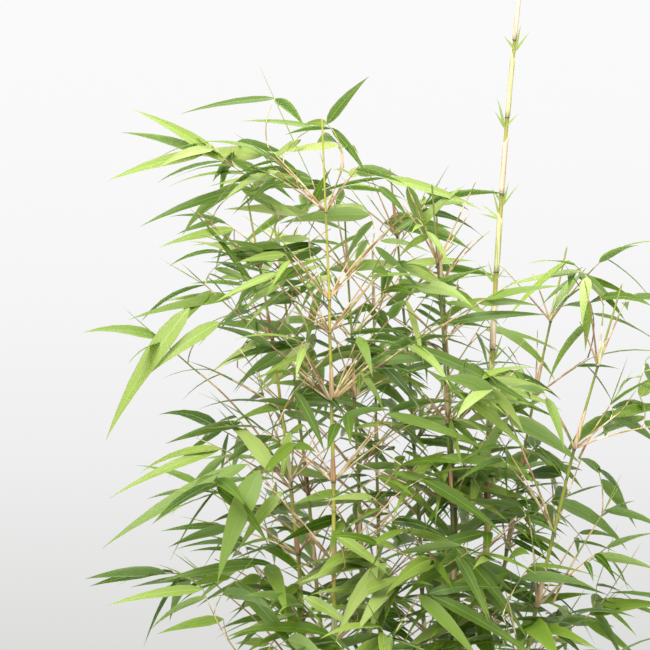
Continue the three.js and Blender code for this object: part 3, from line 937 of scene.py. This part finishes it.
def grow_masses():
    """Each mass becomes sprays: seeded places inside it, in order of distance from the clump's
    middle so that outer twigs can grow from inner ones."""
    places = []
    for name in MASSES:
        count = round(volume_of(name) * 1000 * SPRAYS_PER_LITRE)
        places += [place for place in inside_points(name, count) if RNG.random() < fullness(place)]
    places.sort(key=lambda p: math.hypot(p[0], p[1]) + 0.2 * p[2])
    for place in places:
        inward = unit(np.array([place[0], place[1], 0.0])) * RNG.uniform(22, 40) * MM
        target = place - inward + UP * RNG.uniform(4, 16) * MM
        path = grow_twig(target)
        size = RNG.uniform(*LEAF_LENGTH) * (1.0 if place[2] < SMALL_LEAVES_ABOVE else 0.86)
        spray(path, size, tint_by_painted_light(place), int(RNG.integers(3, 6)))


grow_fans()
grow_marked()
grow_masses()
finish_fans()
finish_boughs()

# ---------- leaves ----------
SHORTEST_LEAF = 20 * MM
LEAF_STEPS = np.array([0, 0.035, 0.1, 0.22, 0.4, 0.6, 0.8, 0.93, 1.0])


def leaf_rings(foot, chord, length, width, facing, droop, twist):
    """Rings along each leaf. Its middle line runs along the chord and bends evenly down by the
    droop. Its half-width swells fast from the stalk, is widest at a third, and draws out to a
    fine tip: (1 - exp(-s / 0.1)) (1 - s^1.9)^1.25. Each ring has six points: the two edges,
    and the rib's two sides above and below. The edges stand a little above the rib."""
    s = LEAF_STEPS
    sag = -UP - chord * np.sum(-UP * chord, -1, keepdims=True)
    level = np.linalg.norm(sag, axis=1, keepdims=True) < 0.15
    sag = unit(np.where(level, unit(foot * [1, 1, 0]), sag))
    bend = droop[:, None] * (s ** 1.2 - 0.45)
    heading = (np.cos(bend)[..., None] * chord[:, None] + np.sin(bend)[..., None] * sag[:, None])
    steps = np.diff(s)[None, :, None] * (heading[:, 1:] + heading[:, :-1]) / 2
    line = np.concatenate([np.zeros_like(heading[:, :1]), np.cumsum(steps, 1)], 1)
    line = foot[:, None] + line * length[:, None, None]
    normal = unit(facing[:, None] - heading * np.sum(facing[:, None] * heading, -1, keepdims=True))
    across = np.cross(normal, heading)
    angle = twist[:, None, None] * (s[None, :, None] - 0.2)
    turned = np.cos(angle) * normal + np.sin(angle) * across
    across = np.cross(turned, heading)
    shape = (1 - np.exp(-s / 0.1)) * (1 - s ** 1.9) ** 1.25 / 0.83
    half = np.maximum(width[:, None] / 2 * shape[None], 0.32 * MM * (1 - 0.75 * s)[None])
    rib = np.minimum(0.42 * MM, 0.5 * half) * (1 - 0.6 * s)
    lift = 0.16 * half
    thick = (0.17 - 0.1 * s)[None] * MM * np.ones_like(half)
    x = np.stack([half, rib, -rib, -half, -rib, rib], -1)
    y = np.stack([lift, thick, thick, lift, -thick, -thick], -1)
    rings = (line[:, :, None] + x[..., None] * across[:, :, None]
             + y[..., None] * turned[:, :, None])
    spot = np.stack([x, np.broadcast_to((s[None] * length[:, None])[..., None], x.shape)], -1)
    return rings, spot


def keep_within(foot, chord, length):
    """Shortens each leaf so that its tip stays in the plant's box."""
    for axis in range(3):
        tip = foot[:, axis] + chord[:, axis] * length
        over = np.maximum(tip - HIGH[axis], 0) + np.maximum(LOW[axis] - tip, 0)
        length = length - over / np.maximum(np.abs(chord[:, axis]), 0.3)
    return np.maximum(length, SHORTEST_LEAF)


def build_leaves(name, rows):
    """One joined mesh of leaves, each a closed blade with its own top, back and rib colours.
    A face is split along the diagonal from its first corner, so the lower skin's faces start one
    corner later: then both skins have the same diagonals and never cross."""
    foot, chord, length, width, facing, droop, twist = (
        np.array([row[k] for row in rows]) for k in range(7))
    tint = np.array([row[7] for row in rows])
    fitted = keep_within(foot, chord, length)
    narrow = np.minimum(width, fitted * 0.2)
    rings, spot = leaf_rings(foot, chord, fitted, narrow, facing, droop, twist)
    points, quads, caps = skin(rings)
    matched = np.concatenate([quads[:, :, :3], np.roll(quads[:, :, 3:], -1, axis=-1)], 2)
    slot = np.stack([tint, RIB_OF[tint], tint, BACK_OF[tint], RIB_OF[tint], BACK_OF[tint]], 1)
    slots = np.broadcast_to(slot[:, None], matched.shape[:3]).reshape(-1)
    faces = [matched.reshape(-1, 4), caps]
    corner = np.concatenate([f.ravel() for f in faces])
    uvs = spot.reshape(-1, 2)[corner]
    piece = add_mesh(name, points, faces, LEAF_SLOTS,
                     slots=np.concatenate([slots, RIB_OF[tint], RIB_OF[tint]]), uvs=uvs)
    piece.data.set_sharp_from_angle(angle=math.radians(75))
    return piece


def build_tubes(name, paths, radii, sides, slots, materials):
    """One joined mesh of round limbs; slots gives the material between each two rings."""
    rings = tube_rings(np.array(paths), np.array(radii), sides)
    points, quads, caps = skin(rings)
    wide = np.broadcast_to(slots[..., None], quads.shape[:3]).reshape(-1)
    ends = np.concatenate([slots[:, 0], slots[:, -1]])
    return add_mesh(name, points, [quads.reshape(-1, 4), caps], materials,
                    slots=np.concatenate([wide, ends]))


# ---------- pieces ----------
cane_piece = build_canes()
sheath_piece = build_cane_sheaths()

BOUGH_COLOURS = (OLIVE, TAN, OLIVE, CHESTNUT, TAN, GREEN)  # by turns along a bough
bough_slots = np.array([[BOUGH_COLOURS[(i // 3 + j) % len(BOUGH_COLOURS)]
                         for i in range(BOUGH_POINTS - 1)] for j in range(len(BOUGHS))])
bough_radii = [np.linspace(*BOUGH_RADII, BOUGH_POINTS)] * len(BOUGHS)
bough_piece = build_tubes("boughs", bough_paths, bough_radii, 8, bough_slots, TWIG_COLOURS)


def deal_colours(kinds, steps):
    """A colour for each stretch of each twig: dry tan and cream sheaths near its foot, more and
    more olive and green stretches towards its tip, and more of these on the youngest twigs."""
    share = np.arange(steps) / steps
    young = 0.35 * (kinds[:, None] != CANE_NODE) + 0.4 * share[None]
    pick, second = RNG.random((len(kinds), steps)), RNG.random((len(kinds), steps))
    fresh = np.where(second < 0.6, OLIVE, GREEN)
    dry = np.where(second < 0.55, TAN, np.where(second < 0.75, CREAM, CHESTNUT))
    return np.where(pick < young, fresh, dry)


twig_slots = deal_colours(np.array(twig_kinds), TWIG_POINTS - 1)
twig_piece = build_tubes("twigs", twig_paths, twig_radii, 5, twig_slots, TWIG_COLOURS)

for foot, heading, reach, width in shoot_blades():
    leaf_rows.append((foot, heading, reach, width, unit(np.array([0, -1.0, 0.2])),
                      math.radians(8), 0.2, 4))


ROLLED_RADII = np.array([0.32, 0.55, 0.6, 0.45, 0.25, 0.06]) * MM  # from foot to tip


def build_rolled_leaves():
    """The new leaves that are still rolled, as thin straight spindles."""
    foot, heading, length = (np.array([row[k] for row in rolled_rows]) for k in range(3))
    length = keep_within(foot, heading, length)
    share = np.linspace(0, 1, len(ROLLED_RADII))[None, :, None]
    paths = foot[:, None] + share * (length[:, None] * heading)[:, None]
    radii = np.broadcast_to(ROLLED_RADII, paths.shape[:2])
    slots = np.repeat(RNG.integers(2, 5, len(foot))[:, None], len(ROLLED_RADII) - 1, 1)
    return build_tubes("rolled_leaves", paths, radii, 5, slots, LEAF_TOPS)


rolled_piece = build_rolled_leaves()

ZONES = {  # from this x up to that one
    "leaves_left": (-9, -0.07), "leaves_middle": (-0.07, 0.08), "leaves_right": (0.08, 9),
}
leaf_pieces = {
    name: build_leaves(name, [row for row in leaf_rows if west <= row[0][0] < east])
    for name, (west, east) in ZONES.items()
}


# ---------- pot and soil ----------
def lathe(name, profile, sides, material):
    """A turned surface: a profile of (radius, height) carried round the upright axis."""
    profile = np.array(profile) * MM
    turn = np.arange(sides) * 2 * math.pi / sides
    rings = np.stack([profile[:, :1] * np.cos(turn), profile[:, :1] * np.sin(turn),
                      np.repeat(profile[:, 1:], sides, 1)], -1)
    points, quads, caps = skin(rings[None])
    return add_mesh(name, points, [quads.reshape(-1, 4), caps], [material])


def pot_material():
    """Dark moulded plastic: a fine orange-peel relief, dull scuffs and a little dust."""
    material = shade("pot_plastic", srgb(34, 35, 37), 0.5)
    n = Nodes(material.node_tree)
    shader = material.node_tree.nodes["Principled BSDF"]
    place = n.add("ShaderNodeTexCoord")
    grain = n.add("ShaderNodeTexNoise", inputs={"Scale": 900.0, "Detail": 2.0})
    scuff = n.add("ShaderNodeTexNoise", inputs={"Scale": 28.0, "Detail": 6.0, "Roughness": 0.7})
    n.join(place.outputs["Object"], grain.inputs["Vector"])
    n.join(place.outputs["Object"], scuff.inputs["Vector"])
    dull = n.add("ShaderNodeMapRange", inputs={
        "From Min": 0.35, "From Max": 0.7, "To Min": 0.38, "To Max": 0.66})
    n.join(scuff.outputs[0], dull.inputs[0]).join(dull.outputs[0], shader.inputs["Roughness"])
    dust = n.add("ShaderNodeValToRGB")
    dust.color_ramp.elements[0].position, dust.color_ramp.elements[1].position = 0.45, 0.85
    dust.color_ramp.elements[0].color = (*srgb(34, 35, 37), 1)
    dust.color_ramp.elements[1].color = (*srgb(66, 64, 60), 1)
    n.join(scuff.outputs[0], dust.inputs[0]).join(dust.outputs[0], shader.inputs["Base Color"])
    bump = n.add("ShaderNodeBump", inputs={"Strength": 0.4, "Distance": 0.0002})
    n.join(grain.outputs[0], bump.inputs["Height"]).join(
        bump.outputs["Normal"], shader.inputs["Normal"])
    return material


def soil_material():
    """Moist compost: dark brown with paler fibres and bark."""
    material = shade("compost", srgb(58, 42, 32), 0.95)
    n = Nodes(material.node_tree)
    shader = material.node_tree.nodes["Principled BSDF"]
    place = n.add("ShaderNodeTexCoord")
    crumbs = n.add("ShaderNodeTexNoise", inputs={"Scale": 140.0, "Detail": 8.0, "Roughness": 0.75})
    n.join(place.outputs["Object"], crumbs.inputs["Vector"])
    ramp = n.add("ShaderNodeValToRGB")
    ramp.color_ramp.elements[0].position, ramp.color_ramp.elements[1].position = 0.35, 0.72
    ramp.color_ramp.elements[0].color = (*srgb(34, 24, 18), 1)
    ramp.color_ramp.elements[1].color = (*srgb(112, 84, 60), 1)
    n.join(crumbs.outputs[0], ramp.inputs[0]).join(ramp.outputs[0], shader.inputs["Base Color"])
    bump = n.add("ShaderNodeBump", inputs={"Strength": 0.9, "Distance": 0.002})
    n.join(crumbs.outputs[0], bump.inputs["Height"]).join(
        bump.outputs["Normal"], shader.inputs["Normal"])
    return material


POT_PROFILE = [  # radius, height in mm: underside, wall, rim band, inner wall, floor
    (0.6, 0), (60, 0), (86, 0), (89.4, 0.6), (91.4, 2.6), (92.2, 5), (96, 42), (100, 82),
    (104, 122), (108, 160), (111.6, 194.6), (112.4, 195.6), (115.2, 196.6), (116.2, 198),
    (117.6, 212.6), (117.2, 214.4), (116.2, 215), (113.4, 215), (112.3, 214.5), (111.8, 213),
    (109.6, 191), (96, 60), (89.9, 4), (0.6, 4),
]
DRAIN_HOLES = 6
DRAIN_CIRCLE = 62 * MM
DRAIN_RADIUS = 6 * MM


def drill_floor(pot):
    """Cuts the drain holes through the pot's floor, evenly spaced on one circle."""
    turn = np.arange(24) * 2 * math.pi / 24
    rim = DRAIN_RADIUS * np.stack([np.cos(turn), np.sin(turn), 0 * turn], -1)
    place = (np.arange(DRAIN_HOLES) + 0.5) / DRAIN_HOLES * 2 * math.pi
    centre = DRAIN_CIRCLE * np.stack([np.cos(place), np.sin(place), 0 * place], -1)
    ends = np.array([-4 * MM, 9 * MM])[:, None, None] * UP
    points, quads, caps = skin(centre[:, None, None] + ends + rim)
    drills = add_mesh("drills", points, [quads.reshape(-1, 4), caps], [pot.data.materials[0]])
    cut = pot.modifiers.new("drain_holes", "BOOLEAN")
    cut.operation, cut.solver, cut.object = "DIFFERENCE", "EXACT", drills
    bpy.context.view_layer.update()
    drilled = bpy.data.meshes.new_from_object(
        pot.evaluated_get(bpy.context.evaluated_depsgraph_get()))
    pot.modifiers.clear()
    pot.data = drilled
    pot.data.set_sharp_from_angle(angle=math.radians(50))
    bpy.data.objects.remove(drills, do_unlink=True)


pot_piece = lathe("nursery_pot", POT_PROFILE, 128, pot_material())
drill_floor(pot_piece)


SOIL_TAPER = 92 / 109  # the compost's radius at its foot as a share of that at its top


def build_soil():
    """The compost's surface: a polar grid, domed a little, with crumbs as summed waves and seeded
    bumps, closed by a wall and a floor inside the pot."""
    low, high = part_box("soil")
    outer, top, foot = float(high[0]), float(high[2]), float(low[2])
    sides, steps = 144, 46
    turn = np.arange(sides) * 2 * math.pi / sides
    share = np.linspace(0.006, 0.995, steps)[:, None]
    x, y = outer * share * np.cos(turn), outer * share * np.sin(turn)
    rough = sum(a * np.sin(f * x + p) * np.cos(f * 1.13 * y + q) for a, f, p, q in (
        (0.8, 90, 0.3, 1.1), (0.5, 210, 1.9, 0.4), (0.35, 430, 0.8, 2.2), (0.25, 800, 2.5, 1.3)))
    rough = rough + RNG.normal(0, 0.35, x.shape)
    z = top - 1.2 * MM - 3.4 * MM * share ** 4 + rough * MM * 0.9
    z[-1] = z[-1].mean()
    surface = np.stack([x, y, z], -1)[::-1]
    wall = np.stack([SOIL_TAPER * surface[0, :, 0], SOIL_TAPER * surface[0, :, 1],
                     np.full(sides, foot + 2 * MM)], -1)
    centre = wall * [0.01, 0.01, 1]
    rings = np.concatenate([centre[None], wall[None], surface])
    points, quads, caps = skin(rings[None])
    return add_mesh("compost", points, [quads.reshape(-1, 4), caps], [soil_material()])


soil_piece = build_soil()

# ---------- what stands for what ----------
for piece in (cane_piece, sheath_piece, bough_piece, twig_piece, rolled_piece, pot_piece,
              soil_piece, *leaf_pieces.values()):
    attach(piece, "root")
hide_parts(*CANES)
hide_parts(*BOUGHS)
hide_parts("pot")
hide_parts("soil")
for name, piece in leaf_pieces.items():
    west, east = ZONES[name]
    here = [m for m in MASSES if west <= (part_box(m)[0][0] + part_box(m)[1][0]) / 2 < east]
    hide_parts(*here)


# ---------- studio ----------
FLOOR_RADIUS, FLOOR_SIDES = 2.6, 96


def studio_floor():
    """A round pale floor about the pot."""
    turn = np.arange(FLOOR_SIDES) * 2 * math.pi / FLOOR_SIDES
    rim = FLOOR_RADIUS * np.stack([np.cos(turn), np.sin(turn), 0 * turn], -1)
    return add_mesh("studio_floor", rim, [np.arange(FLOOR_SIDES)[None]],
                    [shade("floor_paper", (0.62, 0.622, 0.62), 0.9)])


studio_floor()


def softbox(name, place, aim, size, power):
    """A large soft area light turned from its place to its aim."""
    light = bpy.data.lights.new(name, "AREA")
    light.shape, light.size, light.size_y, light.energy = "RECTANGLE", size[0], size[1], power
    box = bpy.data.objects.new(name, light)
    box.location = place
    box.rotation_euler = (Vector(aim) - Vector(place)).to_track_quat("-Z", "Y").to_euler()
    bpy.context.scene.collection.objects.link(box)


softbox("key", (-1.15, -2.15, 2.7), (0, 0, 0.75), (1.3, 1.3), 108)
softbox("fill", (1.1, -2.3, 1.7), (0, 0, 0.75), (1.6, 1.6), 30)
softbox("top", (0.2, 0.1, 2.8), (0, 0, 0.7), (1.6, 1.6), 62)

# Painted light: the backdrop's greys grow paler upwards, standing in for light from above falling off
# down a plain paper sweep.
BACKDROP = ((0.3, 0.86), (0.55, 0.92), (0.82, 0.95))  # greys on its way up, by share
HORIZON = 0.14  # how far below and above level the backdrop's greys reach
DOME_GREYS = (0.3, 0.85, 1.15)  # from below, from the side and from above
DOME_STRENGTH = 0.48


def studio_air():
    """The air about the plant: a soft dome of light, and behind it a backdrop that only the camera
    sees, with painted light: paler upwards, as a paper sweep lit from above would be."""
    world = bpy.data.worlds.new("studio_air")
    bpy.context.scene.world = world
    world.use_nodes = True
    air = Nodes(world.node_tree)
    soft_light = world.node_tree.nodes["Background"]
    soft_light.inputs["Strength"].default_value = DOME_STRENGTH
    backdrop = air.add("ShaderNodeBackground")
    direction = air.add("ShaderNodeTexCoord")
    upward = air.add("ShaderNodeSeparateXYZ")
    paper = air.add("ShaderNodeValToRGB")
    paper.color_ramp.elements[0].color = (0.72, 0.722, 0.71, 1)
    paper.color_ramp.elements[1].color = (0.955, 0.955, 0.96, 1)
    for share, level in BACKDROP:
        paper.color_ramp.elements.new(share).color = (level, level, level, 1)
    climb = air.add("ShaderNodeMapRange", inputs={"From Min": -HORIZON, "From Max": HORIZON})
    dome = air.add("ShaderNodeValToRGB")
    below, beside, above = ((level, level, level, 1) for level in DOME_GREYS)
    dome.color_ramp.elements[0].color, dome.color_ramp.elements[1].color = below, above
    dome.color_ramp.elements.new(0.5).color = beside
    rise = air.add("ShaderNodeMapRange", inputs={"From Min": -1.0, "From Max": 1.0})
    seen = air.add("ShaderNodeLightPath")
    either = air.add("ShaderNodeMixShader")
    air.join(direction.outputs["Generated"], upward.inputs[0])
    air.join(upward.outputs["Z"], climb.inputs["Value"]).join(climb.outputs[0], paper.inputs[0])
    air.join(upward.outputs["Z"], rise.inputs["Value"]).join(rise.outputs[0], dome.inputs[0])
    air.join(dome.outputs[0], soft_light.inputs["Color"])
    air.join(paper.outputs[0], backdrop.inputs["Color"])
    air.join(seen.outputs["Is Camera Ray"], either.inputs[0])
    air.join(soft_light.outputs[0], either.inputs[1]).join(backdrop.outputs[0], either.inputs[2])
    air.join(either.outputs[0], world.node_tree.nodes["World Output"].inputs["Surface"])


studio_air()
bpy.context.scene.view_settings.view_transform = "Standard"

CAMERA_DISTANCE = 2.3
CAMERA_AIM = (-0.07, -0.02, 0.765)
VIEW_WIDTH = 0.65  # of the view at the crown's middle, in metres
SENSOR_WIDTH = 36
camera_data = bpy.data.cameras.new("camera")
camera_data.sensor_width = SENSOR_WIDTH
camera_data.lens = SENSOR_WIDTH * CAMERA_DISTANCE / VIEW_WIDTH
camera = bpy.data.objects.new("camera", camera_data)
camera.location = (CAMERA_AIM[0], CAMERA_AIM[1] - CAMERA_DISTANCE, CAMERA_AIM[2])
camera.rotation_euler = (math.pi / 2, 0, 0)
bpy.context.scene.collection.objects.link(camera)
bpy.context.scene.camera = camera
